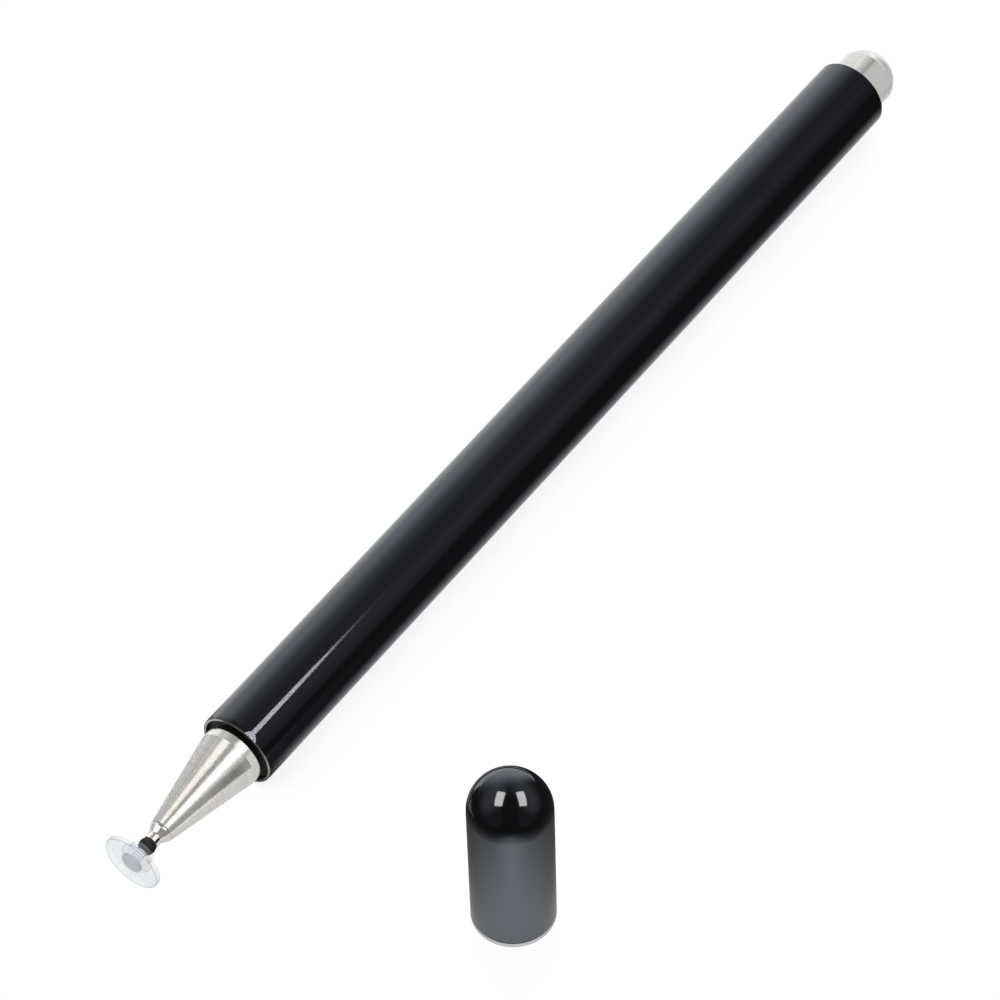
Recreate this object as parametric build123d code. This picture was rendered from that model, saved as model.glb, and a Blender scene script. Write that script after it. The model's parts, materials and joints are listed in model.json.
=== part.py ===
from build123d import *
import math
import os

# Disc-tip stylus with its cap standing beside it. All lengths in millimetres, angles in degrees.
# Frame: X along the pen from tip to tail, +Z up from the surface that pen and cap rest on,
# origin under the middle of the whole set. Every turned piece is drawn upright on the Z axis,
# with height zero at the barrel's mouth and heights growing towards the tail.

# Barrel
barrel_diameter = 9.0
barrel_length = 117.4
barrel_wall = 0.35
barrel_edge_round = 0.14

# Ring magnet and bush inside the barrel's mouth
magnet_recess = 0.6
front_magnet_length = 2.0
front_magnet_wall = 1.1
front_bush_length = 8.0
front_bush_wall = 1.65

# Nose cone
cone_standoff = 0.45
band_gap = 0.55
band_length = 1.05
cone_length = 11.2
cone_tip_diameter = 2.84
cone_shank_length = 6.0
cone_edge_break = 0.08
spigot_clearance = 0.05

# Neck in front of the cone
neck_head_diameter = 2.68
neck_head_length = 0.24
neck_taper_length = 1.1
neck_front_diameter = 1.72
neck_front_length = 0.45
neck_blend_radius = 1.5
neck_thread_diameter = 1.8
neck_shank_length = 3.5
neck_hole_gap = 0.2

# Swivel pin that runs in the neck
pin_diameter = 0.9
pin_ball_diameter = 0.9
pin_waist_diameter = 0.4
pin_collar_diameter = 1.2
pin_collar_length = 0.4
pin_clearance = 0.03
pin_end_play = 0.05

# Black ball that snaps over the pin's head and is fixed in the disc
ball_diameter = 1.9
ball_seat_depth = 0.38
ball_clearance = 0.03
stem_diameter = 1.2
disc_tilt = 25.0
tilt_margin = 4.0

# Clear disc, its boss and its pad
disc_clearance = 0.25
disc_thickness = 0.7
disc_edge_round = 0.15
disc_setback = 2.05
hub_flange_diameter = 3.8
hub_flange_thickness = 0.4
hub_diameter = 2.8
hub_length = 1.4
pad_diameter = 2.4
pad_thickness = 0.35

# Tail: bush in the barrel, collar, magnet and domed button
rear_bush_length = 8.0
rear_bush_wall = 1.45
tail_flange_thickness = 0.5
tail_flange_clearance = 0.05
tail_stub_length = 6.0
collar_gap = 0.6
collar_reach = 3.9
collar_edge_round = 0.3
tail_pocket_wall = 1.05
tail_magnet_length = 2.4
dome_step = 0.32
dome_height = 2.45
dome_plug_length = 0.5

# Cap, as wide as the barrel, and where it stands: along the pen from the mouth, and away from its axis
cap_height = 22.8
cap_wall = 0.45
cap_edge_round = 0.1
lip_height = 0.75
lip_edge_round = 0.16
cap_clearance = 0.1
liner_length = 8.0
cap_station = 2.8
cap_offset = 34.1

# Radii and places that follow from the sizes above
barrel_radius = barrel_diameter / 2
barrel_bore_radius = barrel_radius - barrel_wall
magnet_back = magnet_recess + front_magnet_length
front_bush_back = magnet_back + front_bush_length
cone_shoulder = -cone_standoff
band_front = cone_shoulder - band_length
cone_tip = band_front - cone_length
band_radius = barrel_bore_radius - band_gap
spigot_radius = barrel_bore_radius - front_magnet_wall - spigot_clearance
cone_thread_radius = barrel_bore_radius - front_bush_wall
neck_head_front = cone_tip - neck_head_length
neck_taper_front = neck_head_front - neck_taper_length
neck_end = neck_taper_front - neck_front_length
neck_shank_back = cone_tip + neck_shank_length
neck_thread_radius = neck_thread_diameter / 2
pin_radius = pin_diameter / 2
collar_seat = neck_shank_back - pin_collar_length - pin_end_play
ball_radius = ball_diameter / 2
ball_centre = neck_end - (ball_radius - ball_seat_depth)
pin_ball_radius = pin_ball_diameter / 2
stem_radius = stem_diameter / 2
disc_back = ball_centre - disc_setback
disc_front = disc_back - disc_thickness
pad_back = disc_front + pad_thickness
rear_bush_face = barrel_length - tail_flange_thickness
rear_bush_front = rear_bush_face - rear_bush_length
collar_end = barrel_length + collar_reach
tail_end = collar_end + dome_height
tail_stub_radius = barrel_bore_radius - rear_bush_wall
collar_radius = barrel_bore_radius - collar_gap
tail_magnet_radius = collar_radius - tail_pocket_wall
cap_radius = barrel_radius
cap_bore_radius = cap_radius - cap_wall
liner_bore_radius = band_radius + cap_clearance
disc_radius = liner_bore_radius - disc_clearance
cap_dome_centre = cap_height - cap_radius

# Places in the shared frame
mouth_x = -(disc_front + tail_end) / 2
pen_y = cap_offset / 2
pen_place = Pos(mouth_x, pen_y, barrel_radius) * Rot(0, 90, 0)
cap_place = Pos(mouth_x + cap_station, pen_y - cap_offset, 0)


def turned(outline, rounds=()):
    """Solid turned about Z from (radius, height) points, with rounds as (corner, radius) pairs."""
    sketch = Sketch() + make_face(Polyline(*outline, close=True))
    for corner, radius in rounds:
        vertex = sketch.vertices().sort_by_distance(corner)[0]
        sketch = fillet(vertex, radius)
    return revolve(Plane.XZ * sketch, Axis.Z)


def ring(outer, inner, low, high):
    """Plain ring between two radii and two heights."""
    return turned([(inner, low), (outer, low), (outer, high), (inner, high)])


def rod(radius, low, high):
    """Plain round bar between two heights."""
    return turned([(0, low), (radius, low), (radius, high), (0, high)])


def ball_at(radius, height):
    """Whole ball with its centre on the axis."""
    return Pos(0, 0, height) * Sphere(radius)


def barrel():
    """Thin tube with softened outer edges at both ends."""
    edge = min(barrel_edge_round, barrel_wall / 2)
    mouth_corner = (barrel_radius, 0)
    tail_corner = (barrel_radius, barrel_length)
    outline = [
        (barrel_bore_radius, 0),
        mouth_corner,
        tail_corner,
        (barrel_bore_radius, barrel_length),
    ]
    return turned(outline, [(mouth_corner, edge), (tail_corner, edge)])


def front_magnet():
    """Ring magnet that fills the barrel's mouth behind the cone's shoulder."""
    bore_radius = barrel_bore_radius - front_magnet_wall
    return ring(barrel_bore_radius, bore_radius, magnet_recess, magnet_back)


def front_bush():
    """Bush behind the magnet, whose threaded hole takes the cone's shank."""
    return ring(barrel_bore_radius, cone_thread_radius, magnet_back, front_bush_back)


def nose_cone():
    """Turned cone with a band at its base, a spigot through the magnet and a threaded shank."""
    tip_radius = cone_tip_diameter / 2
    shank_back = magnet_back + cone_shank_length
    hole_end = neck_shank_back + neck_hole_gap
    return turned([
        (neck_thread_radius, cone_tip),
        (tip_radius - cone_edge_break, cone_tip),
        (tip_radius, cone_tip + cone_edge_break),
        (band_radius, band_front),
        (band_radius, cone_shoulder - cone_edge_break),
        (band_radius - cone_edge_break, cone_shoulder),
        (spigot_radius, cone_shoulder),
        (spigot_radius, magnet_back),
        (cone_thread_radius, magnet_back),
        (cone_thread_radius, shank_back),
        (0, shank_back),
        (0, hole_end),
        (neck_thread_radius, hole_end),
    ])


def neck():
    """Polished stub: head, hollow taper and front rim with the ball's seat, bored for the pin."""
    head_radius = neck_head_diameter / 2
    front_radius = neck_front_diameter / 2
    bore_radius = pin_radius + pin_clearance
    counterbore_radius = pin_collar_diameter / 2 + pin_clearance
    blend_corner = (front_radius, neck_taper_front)
    outline = [
        (bore_radius, neck_end),
        (front_radius, neck_end),
        blend_corner,
        (head_radius, neck_head_front),
        (head_radius, cone_tip),
        (neck_thread_radius, cone_tip),
        (neck_thread_radius, neck_shank_back),
        (counterbore_radius, neck_shank_back),
        (counterbore_radius, collar_seat),
        (bore_radius, collar_seat),
    ]
    stub = turned(outline, [(blend_corner, neck_blend_radius)])
    return stub - ball_at(ball_radius + ball_clearance, ball_centre)


def swivel_pin():
    """Pin with a collar at the back, a waist in front and a ball head."""
    waist_radius = pin_waist_diameter / 2
    collar_radius = pin_collar_diameter / 2
    shoulder = ball_centre + ball_radius + ball_clearance
    collar_back = collar_seat + pin_collar_length
    shaft = turned([
        (0, ball_centre),
        (waist_radius, ball_centre),
        (waist_radius, shoulder),
        (pin_radius, shoulder),
        (pin_radius, collar_seat),
        (collar_radius, collar_seat),
        (collar_radius, collar_back),
        (0, collar_back),
    ])
    return shaft + ball_at(pin_ball_radius, ball_centre)


def ball_socket():
    """Ball with a snap socket for the pin's head, a flared slot for its waist, and a stem."""
    socket_radius = pin_ball_radius + ball_clearance
    waist_angle = math.degrees(math.asin(pin_waist_diameter / pin_ball_diameter))
    slot_angle = math.radians(disc_tilt + tilt_margin + waist_angle)
    slot_mouth = ball_radius * math.tan(slot_angle)
    slot = turned([(0, ball_centre), (slot_mouth, ball_centre + ball_radius), (0, ball_centre + ball_radius)])
    solid = ball_at(ball_radius, ball_centre) + rod(stem_radius, pad_back, ball_centre)
    return solid - ball_at(socket_radius, ball_centre) - slot


def disc_hub():
    """Clear stepped boss on the disc's back, dished for the ball and bored for its stem."""
    flange_radius = hub_flange_diameter / 2
    boss_radius = hub_diameter / 2
    step = disc_back + hub_flange_thickness
    boss_back = disc_back + hub_length
    boss = turned([
        (stem_radius, disc_back),
        (flange_radius, disc_back),
        (flange_radius, step),
        (boss_radius, step),
        (boss_radius, boss_back),
        (stem_radius, boss_back),
    ])
    return boss - ball_at(ball_radius, ball_centre)


def disc_plate():
    """Clear disc with softened edges, a recess for the pad and a hole for the stem."""
    edge = min(disc_edge_round, disc_thickness / 3)
    pad_radius = pad_diameter / 2
    front_corner = (disc_radius, disc_front)
    back_corner = (disc_radius, disc_back)
    outline = [
        (pad_radius, disc_front),
        front_corner,
        back_corner,
        (stem_radius, disc_back),
        (stem_radius, pad_back),
        (pad_radius, pad_back),
    ]
    return turned(outline, [(front_corner, edge), (back_corner, edge)])


def contact_pad():
    """Conductive pad, flush in the disc's front, against the end of the stem."""
    return rod(pad_diameter / 2, disc_front, pad_back)


def rear_bush():
    """Bush in the barrel's rear end, which takes the collar's stub."""
    return ring(barrel_bore_radius, tail_stub_radius, rear_bush_front, rear_bush_face)


def tail_sleeve():
    """Collar with a rounded rim, a flange that closes the barrel, a stub and a magnet pocket."""
    flange_radius = barrel_bore_radius - tail_flange_clearance
    stub_front = rear_bush_face - tail_stub_length
    pocket_floor = collar_end - dome_plug_length - tail_magnet_length
    rim_corner = (collar_radius, collar_end)
    edge = min(collar_edge_round, (collar_radius - tail_magnet_radius) / 2)
    outline = [
        (0, stub_front),
        (tail_stub_radius, stub_front),
        (tail_stub_radius, rear_bush_face),
        (flange_radius, rear_bush_face),
        (flange_radius, barrel_length),
        (collar_radius, barrel_length),
        rim_corner,
        (tail_magnet_radius, collar_end),
        (tail_magnet_radius, pocket_floor),
        (0, pocket_floor),
    ]
    return turned(outline, [(rim_corner, edge)])


def tail_magnet():
    """Button magnet at the bottom of the collar's pocket."""
    top = collar_end - dome_plug_length
    return rod(tail_magnet_radius, top - tail_magnet_length, top)


def tail_dome():
    """Domed button whose plug closes the collar's pocket."""
    base_radius = collar_radius - dome_step
    crown_radius = (base_radius**2 + dome_height**2) / (2 * dome_height)
    crown = ball_at(crown_radius, tail_end - crown_radius)
    blank = rod(base_radius, collar_end, tail_end)
    return (blank & crown) + rod(tail_magnet_radius, collar_end - dome_plug_length, collar_end)


def cap_shell():
    """Round-ended cap of even wall, with a softened edge where it meets the lip."""
    edge = min(cap_edge_round, cap_wall / 2)
    low_corner = (cap_radius, lip_height)
    tube = turned(
        [(0, lip_height), low_corner, (cap_radius, cap_dome_centre), (0, cap_dome_centre)],
        [(low_corner, edge)],
    )
    hollow = rod(cap_bore_radius, lip_height, cap_dome_centre) + ball_at(cap_bore_radius, cap_dome_centre)
    return tube + ball_at(cap_radius, cap_dome_centre) - hollow


def cap_liner():
    """Sleeve pressed into the cap, whose flange is the lip at the mouth."""
    edge = min(lip_edge_round, lip_height / 3)
    foot_corner = (cap_radius, 0)
    top_corner = (cap_radius, lip_height)
    outline = [
        (liner_bore_radius, 0),
        foot_corner,
        top_corner,
        (cap_bore_radius, lip_height),
        (cap_bore_radius, liner_length),
        (liner_bore_radius, liner_length),
    ]
    return turned(outline, [(foot_corner, edge), (top_corner, edge / 2)])


pen_pieces = {
    "barrel": barrel,
    "front_magnet": front_magnet,
    "front_bush": front_bush,
    "nose_cone": nose_cone,
    "neck": neck,
    "swivel_pin": swivel_pin,
    "ball_socket": ball_socket,
    "disc_hub": disc_hub,
    "disc_plate": disc_plate,
    "contact_pad": contact_pad,
    "rear_bush": rear_bush,
    "tail_sleeve": tail_sleeve,
    "tail_magnet": tail_magnet,
    "tail_dome": tail_dome,
}
cap_pieces = {
    "cap_shell": cap_shell,
    "cap_liner": cap_liner,
}

os.makedirs("parts", exist_ok=True)
for pieces, place in ((pen_pieces, pen_place), (cap_pieces, cap_place)):
    for name, make in pieces.items():
        export_step(place * make(), f"parts/{name}.step")

# Places that the joints and mounts use
axis_height = barrel_radius
print(f"mouth x {mouth_x:.4f}, pen axis y {pen_y:.4f}, z {axis_height:.4f}")
print(f"ball centre x {mouth_x + ball_centre:.4f}, barrel end x {mouth_x + barrel_length:.4f}")
print(f"tip x {mouth_x + disc_front:.4f}, tail x {mouth_x + tail_end:.4f}")
print(f"cap axis x {mouth_x + cap_station:.4f}, y {pen_y - cap_offset:.4f}")
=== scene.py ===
"""Looks of a disc-tip stylus and its cap.

Turned pieces, finishes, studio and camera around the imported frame.
"""

import json
import logging
import math
from dataclasses import dataclass
from enum import Enum
from typing import Any, Optional, Sequence, Union

import bpy
from mathutils import Matrix, Vector


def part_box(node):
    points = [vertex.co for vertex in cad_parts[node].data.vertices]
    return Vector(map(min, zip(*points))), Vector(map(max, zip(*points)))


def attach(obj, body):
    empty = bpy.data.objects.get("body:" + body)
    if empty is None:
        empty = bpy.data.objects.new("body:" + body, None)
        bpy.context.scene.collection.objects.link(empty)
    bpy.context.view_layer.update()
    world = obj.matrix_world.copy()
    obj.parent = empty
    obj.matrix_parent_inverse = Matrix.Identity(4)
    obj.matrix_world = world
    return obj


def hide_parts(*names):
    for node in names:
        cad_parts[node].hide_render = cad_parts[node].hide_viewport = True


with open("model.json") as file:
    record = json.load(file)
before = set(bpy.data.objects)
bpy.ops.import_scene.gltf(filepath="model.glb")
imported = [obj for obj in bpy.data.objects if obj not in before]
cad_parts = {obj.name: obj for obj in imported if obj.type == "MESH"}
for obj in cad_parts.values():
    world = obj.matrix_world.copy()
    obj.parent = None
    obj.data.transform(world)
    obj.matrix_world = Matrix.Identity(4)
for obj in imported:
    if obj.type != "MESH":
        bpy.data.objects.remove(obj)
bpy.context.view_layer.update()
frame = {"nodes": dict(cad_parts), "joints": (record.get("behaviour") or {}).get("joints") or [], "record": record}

LOG = logging.getLogger("stylus")
MM = 0.001
NOISE_MEAN = 0.5

Triple = tuple[float, float, float]
Colour = Triple
Point = tuple[float, float]
Pieces = Sequence[bpy.types.Object]


class Along(Enum):
    """Object axis that a finish's turning lines follow."""

    X = "X"
    Z = "Z"


class Body(Enum):
    """Bodies that the pieces ride on."""

    PEN = "pen"
    TIP = "tip"
    CAP = "cap"


class Slot(Enum):
    """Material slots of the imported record."""

    LACQUER = "black_lacquer"
    MAGNET = "coated_magnet"
    TURNED = "turned_silver"
    POLISHED = "polished_chrome"
    BALL = "black_conductive"
    CLEAR = "clear_plastic"
    PAD = "grey_pad"
    TAIL = "tail_silver"


class Aim(Enum):
    """Directions that a lamp is placed by: the camera's, or those with the pen's axis as the upward one."""

    CAMERA = "camera"
    PEN = "pen"


class Tint(Enum):
    """Tints of the lamps."""

    WHITE = (1.0, 1.0, 1.0)
    CREAM = (1.0, 0.94, 0.88)
    AMBER = (1.0, 0.9, 0.79)
    ROSE = (1.0, 0.9, 0.87)


def in_scene(name: str, data: bpy.types.ID) -> bpy.types.Object:
    """Adds an object to the scene.

    Args:
        name: The object's name.
        data: Its mesh, lamp or camera.

    Returns:
        The object.
    """
    made = bpy.data.objects.new(name, data)
    bpy.context.scene.collection.objects.link(made)
    return made


# Shader expressions


class Signal:
    """Output socket of a node, with operators that add Math nodes."""

    def __init__(self, kit: "NodeKit", socket: bpy.types.NodeSocket) -> None:
        self.kit = kit
        self.socket = socket

    def __add__(self, other: Union["Signal", float]) -> "Signal":
        """Sum of two values."""
        return self.kit.math("ADD", self, other)

    def __radd__(self, other: float) -> "Signal":
        """Sum with a plain number in front."""
        return self.kit.math("ADD", other, self)

    def __sub__(self, other: Union["Signal", float]) -> "Signal":
        """Difference of two values."""
        return self.kit.math("SUBTRACT", self, other)

    def __rsub__(self, other: float) -> "Signal":
        """Difference with a plain number in front."""
        return self.kit.math("SUBTRACT", other, self)

    def __mul__(self, other: Union["Signal", float]) -> "Signal":
        """Product of two values."""
        return self.kit.math("MULTIPLY", self, other)

    def __rmul__(self, other: float) -> "Signal":
        """Product with a plain number in front."""
        return self.kit.math("MULTIPLY", other, self)


class NodeKit:
    """Adds nodes to one node tree.

    Attributes:
        ring_bounds: Heights of a wave at which a ring starts and is full.
        mix_ends: Numbers of a Mix node's colour inputs.
        mix_result: Number of its colour output.
    """

    ring_bounds: Point = (0.3, 1.0)
    mix_ends: tuple[int, int] = (6, 7)
    mix_result: int = 2

    def __init__(self, tree: bpy.types.NodeTree) -> None:
        """Empties the tree and keeps it."""
        tree.nodes.clear()
        self.tree = tree

    def add(self, kind: str, settings: dict[str, Any], sockets: dict[Any, Any]) -> bpy.types.Node:
        """Adds one node.

        Args:
            kind: The node's type, without its common prefix.
            settings: Attributes, set first.
            sockets: Values or links by input name or number.

        Returns:
            The new node.
        """
        node = self.tree.nodes.new("ShaderNode" + kind)
        for key, value in settings.items():
            setattr(node, key, value)
        for key, value in sockets.items():
            if isinstance(value, Signal):
                self.tree.links.new(value.socket, node.inputs[key])
            else:
                node.inputs[key].default_value = value
        return node

    def read(self, kind: str, settings: dict[str, Any], sockets: dict[Any, Any], output: Any = 0) -> Signal:
        """Adds one node and returns the named output as a signal.

        Args:
            kind: The node's type, without its common prefix.
            settings: Attributes, set first.
            sockets: Values or links by input name or number.
            output: Name or number of the output.

        Returns:
            The output as a signal.
        """
        return Signal(self, self.add(kind, settings, sockets).outputs[output])

    def rays(self, *names: str) -> list[Signal]:
        """Outputs of one Light Path node, by their names."""
        path = self.add("LightPath", {}, {})
        return [Signal(self, path.outputs[name]) for name in names]

    def math(self, operation: str, first: Union[Signal, float], second: Union[Signal, float] = 0.0) -> Signal:
        """Adds a Math node on one or two values."""
        return self.read("Math", {"operation": operation}, {0: first, 1: second})

    def place(self, stretch: Triple = (1.0, 1.0, 1.0)) -> Signal:
        """Object coordinates in millimetres, stretched along the axes.

        Args:
            stretch: Factor along each axis.

        Returns:
            The place as a vector.
        """
        raw = self.read("TexCoord", {}, {}, "Object")
        factors = tuple(share / MM for share in stretch)
        return self.read("VectorMath", {"operation": "MULTIPLY"}, {0: raw, 1: factors})

    def axis(self, vector: Signal, name: str) -> Signal:
        """One component of a vector, by its letter."""
        return self.read("SeparateXYZ", {}, {0: vector}, name)

    def noise(self, vector: Signal, scale: float, detail: float = 2.0) -> Signal:
        """Soft noise from 0 to 1.

        Args:
            vector: Place, in millimetres.
            scale: Waves per millimetre.
            detail: Octaves.

        Returns:
            The noise as a value.
        """
        return self.read("TexNoise", {}, {"Vector": vector, "Scale": scale, "Detail": detail})

    def rise(self, value: Signal, low: float, high: float, bottom: float = 0.0, top: float = 1.0) -> Signal:
        """Smooth step between two bounds.

        Args:
            value: What is compared.
            low: Where the step starts.
            high: Where the step ends.
            bottom: Result before the step.
            top: Result past the step.

        Returns:
            The step as a value.
        """
        bounds = {"Value": value, "From Min": low, "From Max": high, "To Min": bottom, "To Max": top}
        return self.read("MapRange", {"interpolation_type": "SMOOTHSTEP"}, bounds)

    def rings(self, way: Signal, rings_per_mm: float) -> Signal:
        """Fine soft-edged rings along a way in millimetres."""
        wave = self.math("SINE", way * (2 * math.pi * rings_per_mm))
        return self.rise(wave, *self.ring_bounds)

    def tint(self, share: Signal, first: Union[Signal, Colour], second: Union[Signal, Colour]) -> Signal:
        """Mix of two colours.

        Args:
            share: How much of the second colour shows.
            first: Colour at a share of 0.
            second: Colour at a share of 1.

        Returns:
            The mixed colour.
        """
        sockets: dict[Any, Any] = {0: share}
        for number, colour in zip(self.mix_ends, (first, second)):
            sockets[number] = colour if isinstance(colour, Signal) else (*colour, 1.0)
        return self.read("Mix", {"data_type": "RGBA"}, sockets, self.mix_result)

    def bump(self, height: Signal, depth_mm: float = 1.0) -> Signal:
        """Normal from a height.

        Args:
            height: The height.
            depth_mm: What a height of 1 stands for.

        Returns:
            The normal as a vector.
        """
        return self.read("Bump", {}, {"Height": height, "Distance": depth_mm * MM, "Strength": 1.0})

    def finish(self, shader: Signal, target: str = "OutputMaterial") -> None:
        """Links a shader to the tree's output node."""
        self.add(target, {}, {"Surface": shader})


# Finishes


@dataclass(frozen=True)
class Finish:
    """Surface finish that makes one procedural material.

    Attributes:
        name: The material's name.
    """

    name: str

    def material(self) -> bpy.types.Material:
        """Makes the material once and returns it.

        Returns:
            The finish's material.
        """
        found = bpy.data.materials.get(self.name)
        if found:
            return found
        made = bpy.data.materials.new(self.name)
        made.use_nodes = True
        kit = NodeKit(made.node_tree)
        kit.finish(kit.read("BsdfPrincipled", {}, self.sockets(kit)))
        return made

    def sockets(self, kit: NodeKit) -> dict[str, Any]:
        """Values and links of the shader's sockets.

        Args:
            kit: Node kit of the material.

        Returns:
            Socket values by name.
        """
        raise NotImplementedError


@dataclass(frozen=True)
class Lacquer(Finish):
    """Gloss black lacquer with a faint orange peel and, where it was cut, a bare metal edge.

    Attributes:
        black: Colour of the lacquer.
        bare: Colour of the metal at the cut edge.
        edge_mm: Height of the bare edge above the mouth; 0 leaves it lacquered.
        edge_fade: How far that edge wavers and fades, in millimetres.
        gloss: Roughness of the lacquer.
        ior: Refractive index, which sets how strong the gloss is.
        sheen: Tint of the gloss.
        smudges_per_mm: Fineness of the smudges.
        smudge_gain: How much paler the lacquer is in a smudge.
        smudge_dulls: Roughness that a smudge adds.
        grains_per_mm: Fineness of the grain.
        grain_dulls: Roughness that the grain adds.
        peels_per_mm: Fineness of the orange peel.
        peel_mm: Depth of the orange peel.
        bare_dulls: Roughness that bare metal adds.
    """

    black: Colour = (0.0032, 0.0033, 0.0038)
    bare: Colour = (0.62, 0.6, 0.57)
    edge_mm: float = 0.0
    edge_fade: float = 0.02
    gloss: float = 0.035
    ior: float = 1.97
    sheen: Colour = (0.87, 0.97, 1.14)
    smudges_per_mm: float = 0.35
    smudge_gain: float = 1.6
    smudge_dulls: float = 0.02
    grains_per_mm: float = 9.0
    grain_dulls: float = 0.012
    peels_per_mm: float = 1.6
    peel_mm: float = 0.0006
    bare_dulls: float = 0.22

    def sockets(self, kit: NodeKit) -> dict[str, Any]:
        """Values and links of the shader's sockets.

        Args:
            kit: Node kit of the material.

        Returns:
            Socket values by name.
        """
        place = kit.place()
        smudge = kit.noise(place, self.smudges_per_mm, detail=4.0)
        grain = kit.noise(place, self.grains_per_mm)
        peel = kit.noise(place, self.peels_per_mm, detail=1.0)
        colour = kit.tint(smudge, self.black, tuple(self.smudge_gain * share for share in self.black))
        roughness = self.gloss + self.smudge_dulls * smudge + self.grain_dulls * grain
        sockets: dict[str, Any] = {
            "IOR": self.ior,
            "Specular Tint": (*self.sheen, 1.0),
            "Normal": kit.bump(peel, self.peel_mm),
        }
        if self.edge_mm:
            height = kit.axis(place, Along.Z.value) + self.edge_fade * (grain - NOISE_MEAN)
            bare = 1 - kit.rise(height, self.edge_mm - self.edge_fade, self.edge_mm + self.edge_fade)
            colour = kit.tint(bare, colour, self.bare)
            roughness = roughness + self.bare_dulls * bare
            sockets["Metallic"] = bare
        return {**sockets, "Base Color": colour, "Roughness": roughness}


@dataclass(frozen=True)
class TurnedMetal(Finish):
    """Metal with fine lines left by the lathe.

    Attributes:
        light: Colour between the lines.
        dark: Colour in the lines.
        roughness: Mean roughness.
        lines_per_mm: Lines along the axis.
        depth_mm: Depth of the lines.
        sand_mm: Depth of the sandy grain between them.
        sand_per_mm: Grains in a millimetre.
        along: Object axis that the piece was turned about.
        round_share: How little a line changes round the piece, against along it.
        line_dulls: How much the lines change the roughness.
        smears_per_mm: Fineness of the smears.
        smear_dulls: How much the smears change the roughness.
        sand_share: Share of the sandy grain in the colour.
        shade_bounds: Heights at which the colour is fully dark and fully light.
    """

    light: Colour = (0.83, 0.815, 0.785)
    dark: Colour = (0.73, 0.71, 0.68)
    roughness: float = 0.2
    lines_per_mm: float = 11.0
    depth_mm: float = 0.0005
    sand_mm: float = 0.0035
    sand_per_mm: float = 4.5
    along: Along = Along.Z
    round_share: float = 0.015
    line_dulls: float = 0.1
    smears_per_mm: float = 0.5
    smear_dulls: float = 0.06
    sand_share: float = 0.25
    shade_bounds: Point = (0.35, 0.65)

    def sockets(self, kit: NodeKit) -> dict[str, Any]:
        """Values and links of the shader's sockets.

        Args:
            kit: Node kit of the material.

        Returns:
            Socket values by name.
        """
        little = self.round_share
        stretch = (1.0, little, little) if self.along is Along.X else (little, little, 1.0)
        lines = kit.noise(kit.place(stretch), self.lines_per_mm, detail=4.0)
        sand = kit.noise(kit.place(), self.sand_per_mm)
        smear = kit.noise(kit.place(), self.smears_per_mm)
        shade = (1 - self.sand_share) * lines + self.sand_share * sand
        in_line, in_smear = lines - NOISE_MEAN, smear - NOISE_MEAN
        return {
            "Base Color": kit.tint(kit.rise(shade, *self.shade_bounds), self.dark, self.light),
            "Metallic": 1.0,
            "Roughness": self.roughness + self.line_dulls * in_line + self.smear_dulls * in_smear,
            "Normal": kit.bump(self.depth_mm * lines + self.sand_mm * sand),
        }


def brass(name: str) -> TurnedMetal:
    """Bare brass of a bush that lies along the X axis."""
    return TurnedMetal(name, light=(0.8, 0.6, 0.3), dark=(0.62, 0.44, 0.2), along=Along.X)


@dataclass(frozen=True)
class PolishedMetal(Finish):
    """Polished metal with faint hairlines.

    Attributes:
        light: Colour of clean metal.
        dark: Colour where it is dulled.
        gloss: Roughness of clean metal.
        hairs_per_mm: Hairlines along the axis.
        hair_share: How little a hairline changes round the piece, against along it.
        hair_mm: Depth of the hairlines.
        hair_dulls: Roughness that the hairlines add.
        hazes_per_mm: Fineness of the haze.
        haze_dulls: Roughness that the haze adds.
    """

    light: Colour = (0.84, 0.81, 0.79)
    dark: Colour = (0.74, 0.7, 0.68)
    gloss: float = 0.06
    hairs_per_mm: float = 9.0
    hair_share: float = 0.05
    hair_mm: float = 0.0004
    hair_dulls: float = 0.03
    hazes_per_mm: float = 1.2
    haze_dulls: float = 0.05

    def sockets(self, kit: NodeKit) -> dict[str, Any]:
        """Values and links of the shader's sockets.

        Args:
            kit: Node kit of the material.

        Returns:
            Socket values by name.
        """
        hair_place = kit.place((self.hair_share, self.hair_share, 1.0))
        hair = kit.noise(hair_place, self.hairs_per_mm, detail=3.0)
        haze = kit.noise(kit.place(), self.hazes_per_mm, detail=3.0)
        return {
            "Base Color": kit.tint(haze, self.light, self.dark),
            "Metallic": 1.0,
            "Roughness": self.gloss + self.haze_dulls * haze + self.hair_dulls * hair,
            "Normal": kit.bump(hair, self.hair_mm),
        }


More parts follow.
